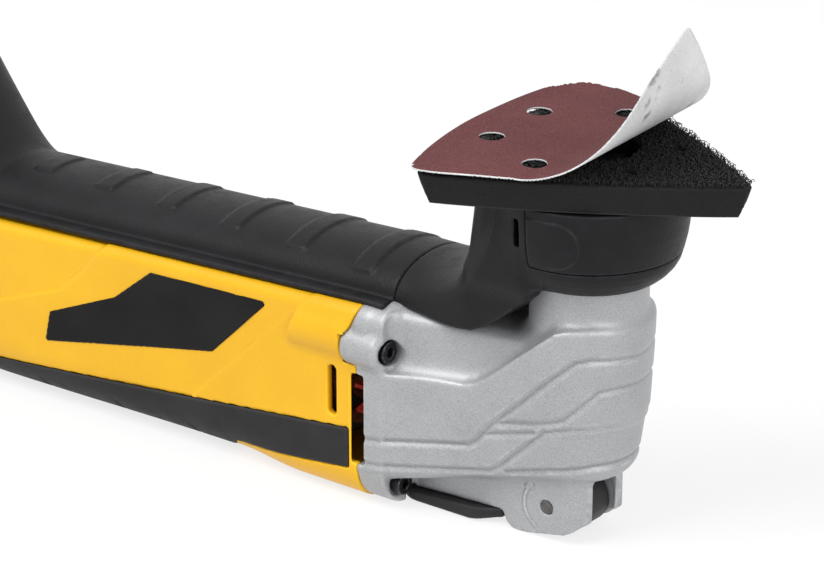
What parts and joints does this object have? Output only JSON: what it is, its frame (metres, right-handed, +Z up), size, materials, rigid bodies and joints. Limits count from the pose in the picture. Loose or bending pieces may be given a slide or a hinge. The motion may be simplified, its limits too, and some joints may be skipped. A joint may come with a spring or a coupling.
{
  "type": "oscillating multi tool",
  "caption": "Mains oscillating multi tool lying on its back: moulded body, cast gear head, quick release lever, dust duct with hose socket, delta sanding pad with a lifted sheet.",
  "frame": {"origin": "middle of the footprint, at the floor that the tool lies on", "axes": "+X from the rear to the gear head, +Z up with the sanding pad on top, the left side in use at -Y"},
  "size_m": [0.324, 0.0957, 0.161],
  "materials": {
    "silver_casting": "fine grained silver paint",
    "black_steel": "black oxide",
    "steel": "turned",
    "yellow_plastic": "fine spark texture",
    "black_plastic": "moulded",
    "soft_grip": "soft touch",
    "plate_film": "printed film, bare",
    "duct_plastic": "moulded satin",
    "pad_plastic": "moulded",
    "pad_foam": "closed cell foam",
    "hooks": "hook tape",
    "abrasive": "bonded grit on paper",
    "felt": "felt",
    "lamination": "stacked sheet",
    "copper": "enamelled wire",
    "brass": "drawn",
    "red_plastic": "moulded",
    "inner_plastic": "moulded",
    "carbon": "pressed carbon",
    "board": "solder mask"
  },
  "bodies": {
    "body": {"gear_head": "silver_casting", "head_screws": "black_steel", "lever_pin": "steel", "left_shell": "yellow_plastic", "right_shell": "yellow_plastic", "left_grip_strip": "soft_grip", "right_grip_strip": "soft_grip", "rating_plate": "plate_film", "shell_screws": "steel", "rear_cap": "black_plastic", "cord_gland": "soft_grip", "dust_duct": "duct_plastic", "hose_adapter": "duct_plastic", "dust_collar": "duct_plastic", "collar_ring": "duct_plastic", "spindle_bearing_low": "steel", "spindle_bearing_high": "steel", "spindle_seal": "felt", "bearing_plate": "silver_casting", "front_bearing": "steel", "rear_bracket": "inner_plastic", "rear_bearing": "steel", "stator_core": "lamination", "field_coils": "copper", "brush_holders": "brass", "brushes": "carbon", "brush_springs": "steel", "switch_module": "inner_plastic", "control_board": "board"},
    "lever": {"lever": "black_plastic"},
    "rocker": {"spindle": "steel", "fork": "steel", "pad_plate": "pad_plastic", "pad_foam": "pad_foam", "hook_face": "hooks", "sanding_sheet": "abrasive", "clamp_spring": "steel"},
    "clamp_rod": {"clamp_rod": "steel"},
    "armature": {"armature_shaft": "steel", "armature_core": "lamination", "armature_winding": "copper", "commutator": "copper", "fan": "red_plastic", "eccentric_bearing": "steel"},
    "slider": {"switch_slider": "black_plastic", "switch_link": "inner_plastic"},
    "dial": {"speed_dial": "black_plastic"}
  },
  "joints": [
    {"name": "lever_swing", "type": "hinge", "parent": "body", "child": "lever", "pos_m": [0.103, 0, 0.0105], "axis": [0, -1, 0], "range_deg": [0, 105]},
    {"name": "pad_rock", "type": "hinge", "parent": "body", "child": "rocker", "pos_m": [0.108, 0, 0.1], "axis": [0, 0, 1], "range_deg": [-1.6, 1.6]},
    {"name": "clamp_slide", "type": "slide", "parent": "rocker", "child": "clamp_rod", "axis": [0, 0, 1], "range_m": [0, 0.003], "deforming": ["clamp_spring"]},
    {"name": "armature_spin", "type": "hinge", "parent": "body", "child": "armature", "pos_m": [0.008, 0, 0.034], "axis": [1, 0, 0], "continuous": true},
    {"name": "switch_slide", "type": "slide", "parent": "body", "child": "slider", "axis": [1, 0, 0], "range_m": [0, 0.007]},
    {"name": "dial_turn", "type": "hinge", "parent": "body", "child": "dial", "pos_m": [-0.142, 0, 0.0145], "axis": [0, 1, 0], "range_deg": [-135, 135]}
  ],
  "couplings": [
    {"joint": "clamp_slide", "follows": "lever_swing", "m_per_rad": 0.0016365}
  ]
}
